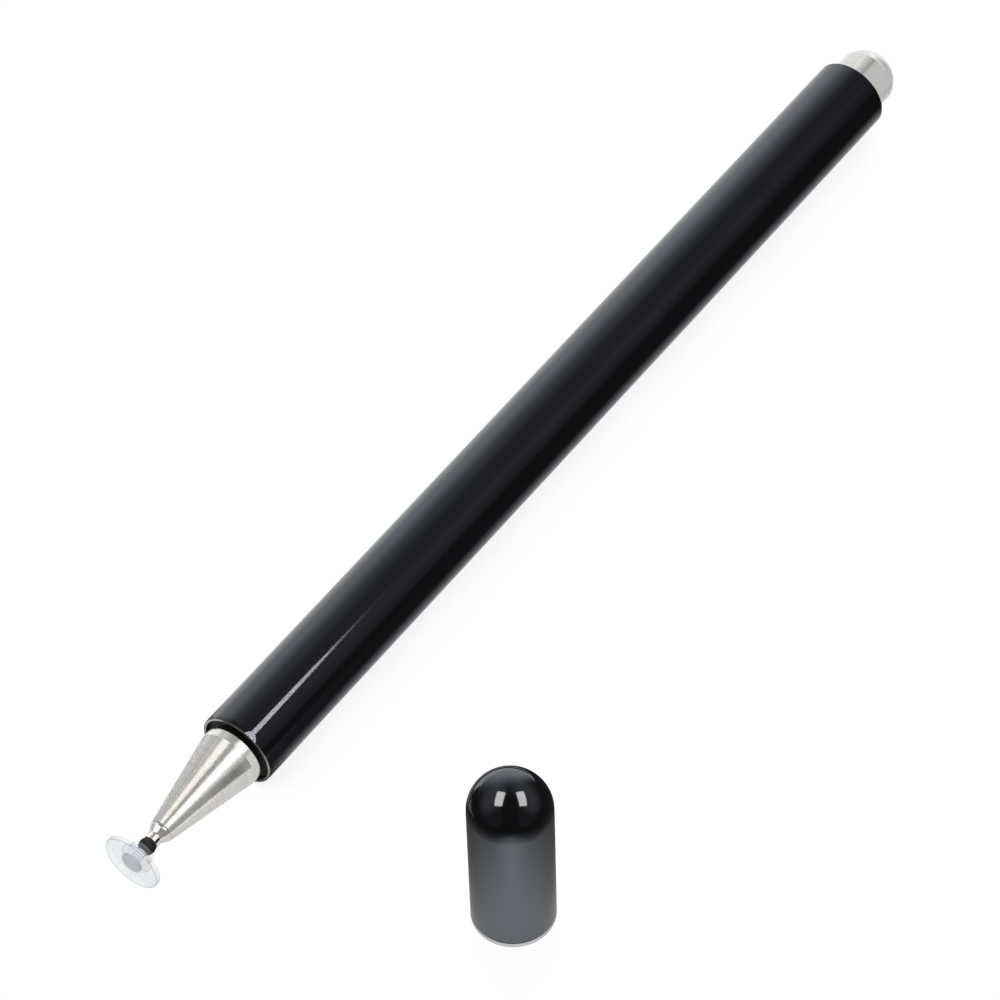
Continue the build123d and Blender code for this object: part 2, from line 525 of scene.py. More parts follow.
@dataclass(frozen=True)
class GrainedSolid(Finish):
    """Plastic, rubber or coating with a fine grain.

    Attributes:
        light: Colour of the grain's tops.
        dark: Colour of the grain's pits.
        roughness: Mean roughness.
        grains_per_mm: Fineness of the grain.
        grain_dulls: How much the grain changes the roughness.
        depth_mm: Depth of the grain.
        patches_per_mm: Fineness of the patches.
        patch_share: Share of the patches in the colour.
        stem: Colour of a stem below a height along the axis, where there is one.
        stem_painted_rings: Colour of the painted rings round the stem: painted refraction of the black ball in the
            boss.
        stem_end: That height.
        stem_fade: How far the colours run into each other there, in millimetres.
        stem_painted_glow: Painted light that the stem gives off, though it is no lamp.
        rings_per_mm: Rings in a millimetre of the stem.
    """

    light: Colour
    dark: Colour
    roughness: float
    grains_per_mm: float = 9.0
    grain_dulls: float = 0.2
    depth_mm: float = 0.004
    patches_per_mm: float = 1.1
    patch_share: float = 0.3
    stem: Optional[Colour] = None
    stem_painted_rings: Colour = (0.4, 0.37, 0.46)
    stem_end: float = 0.0
    stem_fade: float = 0.05
    stem_painted_glow: float = 0.5
    rings_per_mm: float = 3.2

    def sockets(self, kit: NodeKit) -> dict[str, Any]:
        """Values and links of the shader's sockets.

        Args:
            kit: Node kit of the material.

        Returns:
            Socket values by name.
        """
        grain = kit.noise(kit.place(), self.grains_per_mm, detail=3.0)
        patch = kit.noise(kit.place(), self.patches_per_mm)
        shade = (1 - self.patch_share) * grain + self.patch_share * patch
        colour = kit.tint(shade, self.dark, self.light)
        sockets = {
            "Roughness": self.roughness + self.grain_dulls * (grain - NOISE_MEAN),
            "Normal": kit.bump(grain, self.depth_mm),
        }
        # The stem carries painted refraction rings and gives off painted light through its emission.
        if self.stem:
            height = kit.axis(kit.place(), Along.Z.value)
            past = kit.rise(height, self.stem_end - self.stem_fade, self.stem_end + self.stem_fade)
            stem = kit.tint(kit.rings(height, self.rings_per_mm), self.stem, self.stem_painted_rings)
            colour = kit.tint(past, stem, colour)
            sockets["Emission Color"] = kit.tint(past, stem, (0.0, 0.0, 0.0))
            sockets["Emission Strength"] = self.stem_painted_glow
        return {**sockets, "Base Color": colour}


@dataclass(frozen=True)
class ClearPlastic(Finish):
    """Clear moulded plastic with a soft ripple from its mould: a veil that thickens where it is seen edge on.

    Attributes:
        water: Colour of the clear plastic.
        haze: Colour where the moulding is hazy.
        veil: How much of the plastic shows face on.
        veil_swing: How much the ripple changes that veil.
        edge_veil: How much more shows edge on.
        painted_glow: Painted light that the plastic gives off in its own colour, though it is no lamp.
        gloss: Roughness between the ripples.
        ior: Refractive index.
        ripples_per_mm: Fineness of the ripple.
        ripple_share: How much the ripple is drawn out along the axis.
        ripple_mm: Depth of the ripple.
        ripple_dulls: Roughness that the ripple adds.
        line: Colour of a thin olive-grey line painted round the rim near its front edge.
        line_radius: Where that line starts, in millimetres from the axis; 0 leaves it out.
        line_fade: How softly it starts, in millimetres.
        line_height: Height of that line.
        line_width: Width of that line.
        line_core: Share of that width with the line's full colour.
        line_veil: How much more shows in the line.
        shade: Colour of the painted rings round upright walls: painted refraction of the black ball in the boss.
        painted_ring_veil: How much more shows in the painted rings; 0 leaves them out.
        rings_per_mm: Rings in a millimetre.
        wall_bounds: Squared lean at which a wall starts and ends turning into a face.
    """

    water: Colour = (0.7, 0.8, 0.9)
    haze: Colour = (0.62, 0.71, 0.81)
    veil: float = 0.13
    veil_swing: float = 0.6
    edge_veil: float = 0.45
    painted_glow: float = 0.08
    gloss: float = 0.05
    ior: float = 1.49
    ripples_per_mm: float = 0.8
    ripple_share: float = 0.4
    ripple_mm: float = 0.002
    ripple_dulls: float = 0.05
    line: Colour = (0.4, 0.41, 0.36)
    line_radius: float = 0.0
    line_fade: float = 0.02
    line_height: float = 0.0
    line_width: float = 0.07
    line_core: float = 0.3
    line_veil: float = 0.4
    shade: Colour = (0.42, 0.4, 0.48)
    painted_ring_veil: float = 0.0
    rings_per_mm: float = 3.2
    wall_bounds: Point = (0.1, 0.4)

    def sockets(self, kit: NodeKit) -> dict[str, Any]:
        """Values and links of the shader's sockets.

        Args:
            kit: Node kit of the material.

        Returns:
            Socket values by name.
        """
        ripple = kit.noise(kit.place((1.0, 1.0, self.ripple_share)), self.ripples_per_mm)
        edge_on = kit.read("LayerWeight", {}, {}, "Facing")
        colour = kit.tint(ripple, self.water, self.haze)
        thin = 1 - self.veil_swing * NOISE_MEAN
        alpha = self.veil * (thin + self.veil_swing * ripple) + self.edge_veil * (edge_on * edge_on * edge_on)
        # Painted refraction: lilac rings that stand in for the black ball seen through the boss's steps.
        if self.painted_ring_veil:
            ring = self._painted_rings(kit)
            colour = kit.tint(ring, colour, self.shade)
            alpha = alpha + self.painted_ring_veil * ring
        if self.line_radius:
            line = self._rim_line(kit)
            colour = kit.tint(line, colour, self.line)
            alpha = alpha + self.line_veil * line
        return {
            "Base Color": colour,
            "Roughness": self.gloss + self.ripple_dulls * ripple,
            "Normal": kit.bump(ripple, self.ripple_mm),
            "IOR": self.ior,
            "Alpha": alpha,
            # Painted light: the plastic gives off its own colour as emission, though it is no lamp.
            "Emission Color": colour,
            "Emission Strength": self.painted_glow,
        }

    def _painted_rings(self, kit: NodeKit) -> Signal:
        """Painted rings round the walls that stand upright on the disc: painted refraction of the black ball in
        the boss.
        """
        lean = kit.axis(kit.read("TexCoord", {}, {}, "Normal"), Along.Z.value)
        wall = kit.rise(lean * lean, *self.wall_bounds, 1.0, 0.0)
        return wall * kit.rings(kit.axis(kit.place(), Along.Z.value), self.rings_per_mm)

    def _rim_line(self, kit: NodeKit) -> Signal:
        """Thin line round the rim, at its height and outside its radius."""
        place = kit.place()
        flat = kit.read("VectorMath", {"operation": "MULTIPLY"}, {0: place, 1: (1.0, 1.0, 0.0)})
        reach = kit.read("VectorMath", {"operation": "LENGTH"}, {0: flat}, "Value")
        off = kit.math("ABSOLUTE", kit.axis(place, Along.Z.value) - self.line_height)
        outside = kit.rise(reach, self.line_radius - self.line_fade, self.line_radius)
        return outside * kit.rise(off, self.line_core * self.line_width, self.line_width, 1.0, 0.0)


# Turned meshes


@dataclass(frozen=True)
class Corner:
    """Corner of a turned outline, in millimetres.

    Attributes:
        radius: Distance from the axis.
        height: Place along the axis.
        rounding: Radius of the corner's round.
    """

    radius: float
    height: float
    rounding: float = 0.0


@dataclass(frozen=True)
class Sweep:
    """Arc of a turned outline about a point on the axis, in millimetres and degrees.

    Attributes:
        centre: Height of the arc's centre.
        radius: Radius of the arc.
        start: Angle above the centre's level where the arc starts.
        end: Angle where it ends; a falling angle is a hollow.
    """

    centre: float
    radius: float
    start: float
    end: float


@dataclass(frozen=True)
class Mark:
    """Point of a traced outline and the surface's outward direction there.

    Attributes:
        radius: Distance from the axis, in millimetres.
        height: Place along the axis, in millimetres.
        out_radius: Part of the direction that leads away from the axis.
        out_height: Part of the direction along the axis.
    """

    radius: float
    height: float
    out_radius: float
    out_height: float


Element = Union[Corner, Sweep]


class Outline:
    """Outline of a turned piece, with the solid on its left hand, traced into smooth stretches.

    Attributes:
        round_steps: Straight steps in the round of a corner.
        sweep_step: Longest step of an arc, in degrees.
        tiny: Length that counts as nothing, in millimetres.
    """

    round_steps = 7
    sweep_step = 2.5
    tiny = 1e-6

    def __init__(self, elements: Sequence[Element]) -> None:
        """Keeps the outline's elements; an outline that starts away from the axis closes on itself."""
        self.elements = elements
        self.closed = self._end(0, True)[0] > self.tiny

    def stretches(self) -> list[list[Mark]]:
        """Traces the outline.

        Returns:
            Smooth stretches, each a list of marks, in order.
        """
        shapes = [self._shape(number) for number in range(len(self.elements))]
        result = []
        for number, shape in enumerate(shapes):
            if len(shape) > 1:
                result.append(shape)
            if self.closed or number + 1 < len(shapes):
                result.append(self._line(shape[-1], shapes[(number + 1) % len(shapes)][0]))
        return [stretch for stretch in result if stretch]

    def _line(self, first: Mark, last: Mark) -> list[Mark]:
        """Straight stretch between two marks, or nothing where they meet."""
        across, along = last.radius - first.radius, last.height - first.height
        length = math.hypot(across, along)
        if length < self.tiny:
            return []
        out = (along / length, -across / length)
        return [Mark(mark.radius, mark.height, *out) for mark in (first, last)]

    def _end(self, number: int, at_start: bool) -> Point:
        """Point where an element starts or ends, with its corner unrounded."""
        element = self.elements[number % len(self.elements)]
        if isinstance(element, Corner):
            return element.radius, element.height
        angle = math.radians(element.start if at_start else element.end)
        return element.radius * math.cos(angle), element.centre + element.radius * math.sin(angle)

    def _shape(self, number: int) -> list[Mark]:
        """Marks of one element.

        Args:
            number: Which element.

        Returns:
            One mark for a plain corner, or the marks of an arc.
        """
        element = self.elements[number]
        if isinstance(element, Sweep):
            turn = element.end - element.start
            steps = max(2, math.ceil(abs(turn) / self.sweep_step))
            return self._arc((0.0, element.centre), element.radius, element.start, turn, steps)
        if not element.rounding:
            return [Mark(element.radius, element.height, 0.0, 0.0)]
        corner = Vector((element.radius, element.height))
        back = (Vector(self._end(number - 1, False)) - corner).normalized()
        ahead = (Vector(self._end(number + 1, True)) - corner).normalized()
        half = back.angle(ahead) / 2
        centre = corner + (back + ahead).normalized() * element.rounding / math.sin(half)
        touch = corner + back * element.rounding / math.tan(half) - centre
        side = 1 if back.cross(ahead) < 0 else -1
        turn = side * (180.0 - math.degrees(2 * half))
        start = math.degrees(math.atan2(touch.y, touch.x))
        return self._arc(tuple(centre), element.rounding, start, turn, self.round_steps)

    def _arc(self, centre: Point, radius: float, start: float, turn: float, steps: int) -> list[Mark]:
        """Marks along an arc.

        Args:
            centre: The arc's centre.
            radius: The arc's radius.
            start: First angle, in degrees.
            turn: Angle turned through; below zero for a hollow.
            steps: How many straight steps stand for the arc.

        Returns:
            The arc's marks.
        """
        side = math.copysign(1.0, turn)
        marks = []
        for step in range(steps + 1):
            angle = math.radians(start + turn * step / steps)
            cosine, sine = math.cos(angle), math.sin(angle)
            reach = max(0.0, centre[0] + radius * cosine)
            marks.append(Mark(reach, centre[1] + radius * sine, side * cosine, side * sine))
        return marks


class Lathe:
    """Turns outlines about the Z axis into meshes with true surface normals.

    Attributes:
        sides: Straight steps in one turn.
        digits: Digits after the point by which two rings count as one.
    """

    sides = 160
    digits = 5

    def __init__(self) -> None:
        """Starts with no vertices or faces."""
        self.vertices: list[Vector] = []
        self.faces: list[list[int]] = []
        self.normals: list[Vector] = []
        self.rings: dict[tuple[float, float], list[int]] = {}
        angles = [2 * math.pi * side / self.sides for side in range(self.sides)]
        self.spokes = [(math.cos(angle), math.sin(angle)) for angle in angles]

    def turn(self, name: str, outline: Outline) -> bpy.types.Mesh:
        """Turns one outline.

        Args:
            name: The mesh's name.
            outline: Outline in millimetres.

        Returns:
            The mesh, in metres.
        """
        for stretch in outline.stretches():
            for low, high in zip(stretch, stretch[1:]):
                self._strip(low, high)
        mesh = bpy.data.meshes.new(name)
        mesh.from_pydata(self.vertices, [], self.faces)
        mesh.shade_smooth()
        mesh.normals_split_custom_set(self.normals)
        return mesh

    def _ring(self, mark: Mark) -> list[int]:
        """Vertices round one mark; a mark on the axis has one vertex."""
        key = (round(mark.radius, self.digits), round(mark.height, self.digits))
        if key not in self.rings:
            first = len(self.vertices)
            spokes = self.spokes if key[0] > 0 else self.spokes[:1]
            for cosine, sine in spokes:
                point = Vector((mark.radius * cosine, mark.radius * sine, mark.height))
                self.vertices.append(point * MM)
            self.rings[key] = [first + number % len(spokes) for number in range(self.sides)]
        return self.rings[key]

    def _strip(self, low: Mark, high: Mark) -> None:
        """Adds the faces between two marks."""
        low_ring, high_ring = self._ring(low), self._ring(high)
        for side in range(self.sides):
            beyond = (side + 1) % self.sides
            face, normals = [], []
            for mark, ring, spoke in (
                (low, low_ring, side),
                (low, low_ring, beyond),
                (high, high_ring, beyond),
                (high, high_ring, side),
            ):
                if ring[spoke] in face:
                    continue
                cosine, sine = self.spokes[spoke]
                face.append(ring[spoke])
                normals.append(Vector((mark.out_radius * cosine, mark.out_radius * sine, mark.out_height)))
            if len(face) > 2:
                self.faces.append(face)
                self.normals.extend(normals)


@dataclass(frozen=True)
class TurningAxis:
    """Axis that a group of pieces is turned about.

    Attributes:
        place: Matrix from the upright drawing to the shared frame, in metres.
    """

    place: Matrix

    def span(self, node: str) -> tuple[float, float]:
        """Lowest and highest place of a node along the axis.

        Args:
            node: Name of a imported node.

        Returns:
            Both places in millimetres.
        """
        inverse = self.place.inverted()
        ends = sorted((inverse @ corner).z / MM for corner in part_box(node))
        return ends[0], ends[1]


class SubAssembly:
    """Pieces that are made together on one axis."""

    axis: TurningAxis

    def turned(
        self, name: str, node: str, body: Body, slot: Slot, outline: Sequence[Element], finish: Finish,
    ) -> bpy.types.Object:
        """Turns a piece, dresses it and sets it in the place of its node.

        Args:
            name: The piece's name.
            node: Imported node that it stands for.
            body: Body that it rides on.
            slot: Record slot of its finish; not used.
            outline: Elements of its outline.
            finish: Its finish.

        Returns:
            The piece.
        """
        mesh = Lathe().turn(name, Outline(outline))
        mesh.materials.append(finish.material())
        piece = in_scene(name, mesh)
        piece.matrix_world = self.axis.place
        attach(piece, body.value)
        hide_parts(node)
        LOG.info("%s stands for %s with %d faces", name, node, len(mesh.polygons))
        return piece

    def kept(self, node: str, finish: Finish) -> None:
        """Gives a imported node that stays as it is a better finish."""
        for slot in frame["nodes"][node].material_slots:
            slot.material = finish.material()
        LOG.info("%s is kept and dressed as %s", node, finish.name)


@dataclass
class BarrelGroup(SubAssembly):
    """Lacquered barrel with the ring magnet and the bush in its mouth. Sizes in millimetres.

    Attributes:
        axis: Axis of the pen.
        radius: Outside of the barrel.
        bore: Inside of the barrel.
        edge: Round of the rear edge.
        roll_depth: How far the lacquered edge at the mouth is rolled in.
        roll_length: Length of that roll.
        roll: Radius of the roll.
        rim: Round of the rim in front of the roll.
        burr: Round of the sharp edges.
        magnet_bore: Hole in the ring magnet.
        bare_edge: Height of bare metal at the mouth.
    """

    axis: TurningAxis
    radius: float = 4.5
    bore: float = 4.15
    edge: float = 0.14
    roll_depth: float = 0.045
    roll_length: float = 0.35
    roll: float = 5.0
    rim: float = 0.08
    burr: float = 0.03
    magnet_bore: float = 3.05
    bare_edge: float = 0.05

    def build(self) -> list[bpy.types.Object]:
        """Makes and dresses the group.

        Returns:
            Its pieces, the barrel first.
        """
        low, high = self.axis.span("barrel")
        barrel = [
            Corner(self.bore, low, self.burr),
            Corner(self.radius - self.roll_depth, low, self.rim),
            Corner(self.radius, low + self.roll_length, self.roll),
            Corner(self.radius, high, self.edge),
            Corner(self.bore, high, self.burr),
        ]
        front, back = self.axis.span("front_magnet")
        magnet = [
            Corner(self.magnet_bore, front, self.burr),
            Corner(self.bore, front, self.burr),
            Corner(self.bore, back),
            Corner(self.magnet_bore, back),
        ]
        lacquer = Lacquer("barrel_lacquer", edge_mm=self.bare_edge)
        coating = GrainedSolid(
            "magnet_coating", light=(0.055, 0.05, 0.042), dark=(0.022, 0.02, 0.018), roughness=0.42,
        )
        self.kept("front_bush", brass("front_brass"))
        return [
            self.turned("lacquered_barrel", "barrel", Body.PEN, Slot.LACQUER, barrel, lacquer),
            self.turned("ring_magnet", "front_magnet", Body.PEN, Slot.MAGNET, magnet, coating),
        ]


@dataclass
class NoseGroup(SubAssembly):
    """Turned cone and polished neck. Sizes in millimetres.

    Attributes:
        axis: Axis of the pen.
        ball_centre: Place of the ball joint along the axis.
        standoff: Gap between the mouth and the cone's shoulder.
        band_length: Length of the straight band.
        band_radius: Radius of the band.
        tip_radius: Radius at the cone's tip.
        edge: Round of the cone's edges.
        spigot_radius: Radius of the spigot through the magnet.
        thread_radius: Radius of the shank.
        head_radius: Radius of the neck's head.
        head_length: Length of the neck's head.
        front_radius: Radius of the neck's front.
        front_length: Length of the neck's front.
        blend: Round between taper and front.
        head_slope: How much the head narrows towards its front.
        shank_radius: Radius of the neck's shank.
        hole_gap: Space behind the neck's shank.
        pin_bore: Radius of the hole for the pin.
        counterbore: Radius of the hole for the pin's collar.
        collar_depth: Depth of that hole.
        seat_radius: Radius of the ball's seat.
    """

    axis: TurningAxis
    ball_centre: float
    standoff: float = 0.45
    band_length: float = 1.05
    band_radius: float = 3.6
    tip_radius: float = 1.42
    edge: float = 0.08
    spigot_radius: float = 3.0
    thread_radius: float = 2.5
    head_radius: float = 1.34
    head_length: float = 0.24
    front_radius: float = 0.86
    front_length: float = 0.8
    blend: float = 0.6
    head_slope: float = 0.045
    shank_radius: float = 0.9
    hole_gap: float = 0.2
    pin_bore: float = 0.48
    counterbore: float = 0.63
    collar_depth: float = 0.45
    seat_radius: float = 0.98

    def build(self) -> list[bpy.types.Object]:
        """Makes and dresses the group.

        Returns:
            The cone and the neck.
        """
        silver = TurnedMetal("satin_turned_silver", lines_per_mm=4.0, sand_mm=0.007, sand_per_mm=2.6)
        polish = PolishedMetal("polished_metal")
        return [
            self.turned("turned_nose_cone", "nose_cone", Body.PEN, Slot.TURNED, self._cone(), silver),
            self.turned("polished_neck", "neck", Body.PEN, Slot.POLISHED, self._neck(), polish),
        ]

    def _cone(self) -> list[Element]:
        """Outline of the cone, from the end of its hole to the end of its shank."""
        tip, shank_back = self.axis.span("nose_cone")
        magnet_back = self.axis.span("front_magnet")[1]
        hole_end = self.axis.span("neck")[1] + self.hole_gap
        shoulder = -self.standoff
        return [
            Corner(0.0, hole_end),
            Corner(self.shank_radius, hole_end),
            Corner(self.shank_radius, tip),
            Corner(self.tip_radius, tip, self.edge),
            Corner(self.band_radius, shoulder - self.band_length, self.edge),
            Corner(self.band_radius, shoulder, self.edge),
            Corner(self.spigot_radius, shoulder),
            Corner(self.spigot_radius, magnet_back),
            Corner(self.thread_radius, magnet_back),
            Corner(self.thread_radius, shank_back),
            Corner(0.0, shank_back),
        ]

    def _neck(self) -> list[Element]:
        """Outline of the neck, round from its front rim to the ball's seat."""
        front, back = self.axis.span("neck")
        cone_tip = self.axis.span("nose_cone")[0]
        seat_rim = math.asin((front - self.ball_centre) / self.seat_radius)
        seat_hole = math.acos(self.pin_bore / self.seat_radius)
        fine = self.edge / 2
        collar_seat = back - self.collar_depth
        return [
            Corner(self.front_radius, front, fine),
            Corner(self.front_radius, front + self.front_length, self.blend),
            Corner(self.head_radius - self.head_slope, cone_tip - self.head_length, fine),
            Corner(self.head_radius, cone_tip, fine),
            Corner(self.shank_radius, cone_tip),
            Corner(self.shank_radius, back),
            Corner(self.counterbore, back),
            Corner(self.counterbore, collar_seat),
            Corner(self.pin_bore, collar_seat),
            Sweep(self.ball_centre, self.seat_radius, math.degrees(seat_hole), math.degrees(seat_rim)),
        ]


@dataclass
class DiscGroup(SubAssembly):
    """Black ball, clear boss, clear disc and pad. Sizes in millimetres.

    Attributes:
        axis: Axis of the pen.
        ball_centre: Place of the ball joint along the axis.
        ball_radius: Radius of the black ball.
        socket_radius: Radius of the hollow for the pin's head.
        slot_angle: Angle of the hollow's flare from the axis, in degrees.
        stem_radius: Radius of the ball's stem.
        disc_radius: Radius of the disc.
        disc_edge: Round of the disc's edges.
        flange_radius: Radius of the boss's flange.
        flange_thickness: Thickness of the flange.
        boss_radius: Radius of the boss.
        boss_edge: Round of the boss's edges.
        pad_radius: Radius of the pad.
        pad_edge: Round of the pad's edge.
        contact: How far clear plastic reaches into what it holds, so that no film of air shows.
        seam: Gap between the disc and its boss.
    """

    axis: TurningAxis
    ball_centre: float
    ball_radius: float = 0.95
    socket_radius: float = 0.48
    slot_angle: float = 55.4
    stem_radius: float = 0.6
    disc_radius: float = 3.45
    disc_edge: float = 0.15
    flange_radius: float = 1.9
    flange_thickness: float = 0.4
    boss_radius: float = 1.4
    boss_edge: float = 0.07
    pad_radius: float = 1.2
    pad_edge: float = 0.04
    contact: float = 0.004
    seam: float = 0.012

    def build(self) -> list[bpy.types.Object]:
        """Makes and dresses the group.

        Returns:
            Ball, boss, disc and pad.
        """
        black = GrainedSolid(
            "black_conductive_plastic",
            light=(0.03, 0.028, 0.024),
            dark=(0.008, 0.008, 0.007),
            roughness=0.48,
            # The pale stem carries painted rings and gives off painted light.
            stem=(0.94, 0.95, 0.97),
            stem_end=self.ball_centre - self.ball_radius,
        )
        grey = GrainedSolid(
            "grey_pad_rubber", light=(0.86, 0.9, 0.96), dark=(0.78, 0.82, 0.88), roughness=0.62,
        )
        clear = ClearPlastic(
            "clear_disc_plastic",
            line_radius=self.disc_radius - self.disc_edge,
            line_height=self.axis.span("disc_plate")[0] + self.disc_edge / 2,
        )
        thin = ClearPlastic(
            "clear_boss_plastic",
            water=(0.62, 0.61, 0.7),
            haze=(0.55, 0.54, 0.63),
            veil=0.1,
            edge_veil=0.03,
            # The boss gives off painted light and carries painted refraction rings on its walls.
            painted_glow=0.15,
            painted_ring_veil=0.3,
        )
        self.kept("swivel_pin", PolishedMetal("pin_steel"))
        return [
            self.turned("black_ball", "ball_socket", Body.TIP, Slot.BALL, self._ball(), black),
            self.turned("clear_boss", "disc_hub", Body.TIP, Slot.CLEAR, self._boss(), thin),
            self.turned("clear_disc", "disc_plate", Body.TIP, Slot.CLEAR, self._disc(), clear),
            self.turned("grey_pad", "contact_pad", Body.TIP, Slot.PAD, self._pad(), grey),
        ]

    def _ball(self) -> list[Element]:
        """Outline of the ball with its stem, flare and socket."""
        stem_end = self.axis.span("ball_socket")[0]
        stem = math.degrees(math.acos(self.stem_radius / self.ball_radius))
        flare = 90.0 - self.slot_angle
        return [
            Corner(0.0, stem_end),
            Corner(self.stem_radius, stem_end),
            Sweep(self.ball_centre, self.ball_radius, -stem, flare),
            Sweep(self.ball_centre, self.socket_radius, flare, -90.0),
        ]

    def _boss(self) -> list[Element]:
        """Outline of the stepped boss, dished for the ball."""
        low, high = self.axis.span("disc_hub")
        bore = self.stem_radius - self.contact
        dish = self.ball_radius - self.contact
        rim = math.degrees(math.asin((high - self.ball_centre) / dish))
        hole = math.degrees(math.acos(bore / dish))
        step = low + self.flange_thickness
        return [
            Corner(bore, low + self.seam),
            Corner(self.flange_radius, low + self.seam, self.boss_edge),
            Corner(self.flange_radius, step, self.boss_edge),
            Corner(self.boss_radius, step, self.boss_edge),
            Corner(self.boss_radius, high, self.boss_edge),
            Sweep(self.ball_centre, dish, rim, -hole),
        ]

    def _disc(self) -> list[Element]:
        """Outline of the disc, recessed for the pad and holed for the stem."""
        front, back = self.axis.span("disc_plate")
        recess = self.axis.span("contact_pad")[1] - self.contact
        hole = self.stem_radius - self.contact
        pad = self.pad_radius - self.contact
        return [
            Corner(pad, front),
            Corner(self.disc_radius, front, self.disc_edge),
            Corner(self.disc_radius, back, self.disc_edge),
            Corner(hole, back),
            Corner(hole, recess),
            Corner(pad, recess),
        ]

    def _pad(self) -> list[Element]:
        """Outline of the pad."""
        front, back = self.axis.span("contact_pad")
        return [
            Corner(0.0, front),
            Corner(self.pad_radius, front, self.pad_edge),
            Corner(self.pad_radius, back),
            Corner(0.0, back),
        ]


@dataclass
class TailGroup(SubAssembly):
    """Collar, magnet and domed button at the pen's rear end. Sizes in millimetres.

    Attributes:
        axis: Axis of the pen.
        flange_radius: Radius of the flange in the barrel's end.
        stub_radius: Radius of the stub in the bush.
        collar_radius: Radius of the collar.
        collar_edge: Round of the collar's rim.
        magnet_radius: Radius of the magnet and its pocket.
        step: How far the dome is set in from the collar.
        sunk: How far the dome's edge lies below the collar's end.
        fine: Round of the small edges.
    """

    axis: TurningAxis
    flange_radius: float = 4.1
    stub_radius: float = 2.7
    collar_radius: float = 3.55
    collar_edge: float = 0.45
    magnet_radius: float = 2.5
    step: float = 0.16
    sunk: float = 0.2
    fine: float = 0.05

    def build(self) -> list[bpy.types.Object]:
        """Makes and dresses the group.

        Returns:
            Collar and button.
        """
        plate = TurnedMetal(
            "plated_tail",
            light=(0.8, 0.79, 0.77),
            dark=(0.72, 0.71, 0.69),
            roughness=0.15,
            lines_per_mm=6.0,
            depth_mm=0.0004,
            sand_mm=0.0002,
        )
        coating = GrainedSolid(
            "tail_magnet_coating", light=(0.04, 0.04, 0.04), dark=(0.02, 0.02, 0.02), roughness=0.4,
        )
        self.kept("rear_bush", brass("rear_brass"))
        self.kept("tail_magnet", coating)
        return [
            self.turned("tail_collar", "tail_sleeve", Body.PEN, Slot.TAIL, self._collar(), plate),
            self.turned("tail_button", "tail_dome", Body.PEN, Slot.TAIL, self._button(), plate),
        ]

    def _collar(self) -> list[Element]:
        """Outline of the collar with its flange, stub and pocket."""
        front, end = self.axis.span("tail_sleeve")
        bush_face = self.axis.span("rear_bush")[1]
        barrel_end = self.axis.span("barrel")[1]
        pocket = self.axis.span("tail_magnet")[0]
        return [
            Corner(0.0, front),
            Corner(self.stub_radius, front),
            Corner(self.stub_radius, bush_face),
            Corner(self.flange_radius, bush_face),
            Corner(self.flange_radius, barrel_end, self.fine),
            Corner(self.collar_radius, barrel_end),
            Corner(self.collar_radius, end, self.collar_edge),
            Corner(self.magnet_radius, end),
            Corner(self.magnet_radius, pocket),
            Corner(0.0, pocket),
        ]

    def _button(self) -> list[Element]:
        """Outline of the domed button with its plug."""
        front, end = self.axis.span("tail_dome")
        base = self.axis.span("tail_sleeve")[1]
        radius = self.collar_radius - self.step
        height = end - base
        crown = (radius**2 + height**2) / (2 * height)
        centre = end - crown
        start = math.degrees(math.asin((base - self.sunk - centre) / crown))
        return [
            Corner(0.0, front),
            Corner(self.magnet_radius, front),
            Corner(self.magnet_radius, base - self.sunk),
            Sweep(centre, crown, start, 90.0),
        ]


@dataclass
class CapGroup(SubAssembly):
    """Round-ended cap and its liner with the silver lip. Sizes in millimetres.

    Attributes:
        axis: Axis of the cap.
        radius: Outside of the cap.
        wall: Thickness of the shell.
        edge: Round of the shell's lower edge.
        lip_edge: Round of the lip's edges.
        liner_bore: Hole in the liner.
    """

    axis: TurningAxis
    radius: float = 4.5
    wall: float = 0.45
    edge: float = 0.15
    lip_edge: float = 0.16
    liner_bore: float = 3.7

    def build(self) -> list[bpy.types.Object]:
        """Makes and dresses the group.

        Returns:
            Shell and liner.
        """
        lip, top = self.axis.span("cap_shell")
        foot, liner_top = self.axis.span("cap_liner")
        bore = self.radius - self.wall
        centre = top - self.radius
        shell = [
            Sweep(centre, bore, 90.0, 0.0),
            Corner(bore, lip),
            Corner(self.radius, lip, self.edge),
            Sweep(centre, self.radius, 0.0, 90.0),
        ]
        liner = [
            Corner(self.liner_bore, foot, self.edge),
            Corner(self.radius, foot, self.lip_edge),
            Corner(self.radius, lip, self.lip_edge / 2),
            Corner(bore, lip),
            Corner(bore, liner_top),
            Corner(self.liner_bore, liner_top, self.edge),
        ]
        lacquer = Lacquer("cap_lacquer")
        plate = TurnedMetal(
            "plated_lip",
            light=(0.64, 0.64, 0.65),
            dark=(0.57, 0.57, 0.58),
            roughness=0.22,
            lines_per_mm=6.0,
            depth_mm=0.0006,
            sand_mm=0.001,
        )
        return [
            self.turned("cap_body", "cap_shell", Body.CAP, Slot.LACQUER, shell, lacquer),
            self.turned("cap_lip", "cap_liner", Body.CAP, Slot.TAIL, liner, plate),
        ]


# Studio


@dataclass(frozen=True)
class Axes:
    """Directions that lamps are placed by.

    Attributes:
        right: Unit vector to the right.
        up: Unit vector upwards.
        back: Unit vector towards the viewer.
    """

    right: Vector
    up: Vector
    back: Vector

    def along(self, direction: Vector) -> "Axes":
        """Axes whose up follows a direction, with back as near to this back as it can be."""
        back = (self.back - self.back.dot(direction) * direction).normalized()
        return Axes(direction.cross(back), direction, back)


